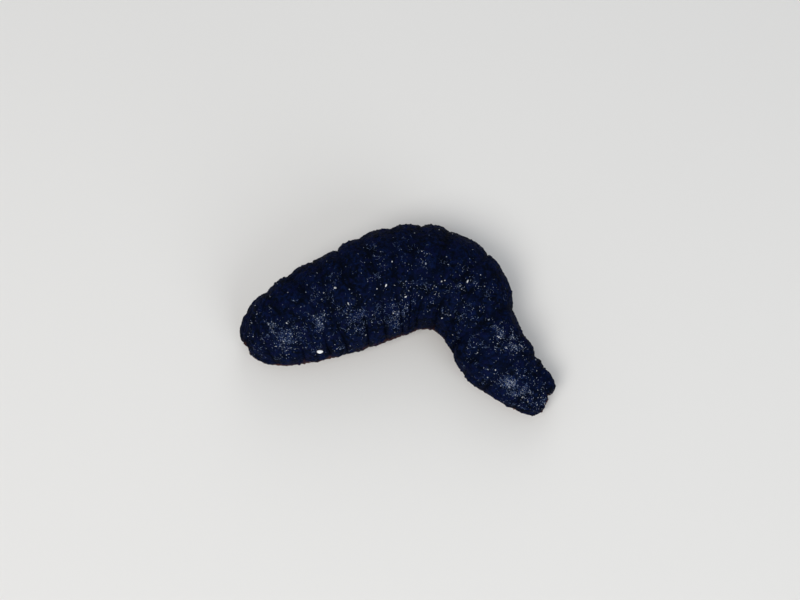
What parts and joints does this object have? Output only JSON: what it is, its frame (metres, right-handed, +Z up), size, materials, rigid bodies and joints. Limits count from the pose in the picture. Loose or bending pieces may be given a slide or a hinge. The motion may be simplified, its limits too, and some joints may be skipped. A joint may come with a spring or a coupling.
{
  "type": "sea cucumber",
  "caption": "Stout, dark, wrinkled sea cucumber bent on its flat sole, with tube feet beneath, a ring of tentacles in its mouth and a puckered vent behind.",
  "frame": {"origin": "on the floor under the middle of the whole animal's box", "axes": "+Z up from the floor; +X along the longest side of the bent body, from the mouth's side to the vent's; +Y towards the outside of the bend"},
  "size_m": [0.2106, 0.1288, 0.0603],
  "materials": {
    "skin": "matt, finely wrinkled, near-black navy hide with pale sediment on its folds",
    "mouth": "satin, soft, dark brown tentacles with paler knobbed ends",
    "sole": "satin, reddish brown underside and tube feet",
    "sediment": "matt, loose pale grains of sand and shell"
  },
  "bodies": {
    "root": {"head_end": "skin", "front_body": "skin", "front_trunk": "skin", "bend_front": "skin", "bend_rear": "skin", "rear_trunk": "skin", "rear_body": "skin", "tail_end": "skin", "mouth_tentacles": "mouth"}
  },
  "joints": []
}
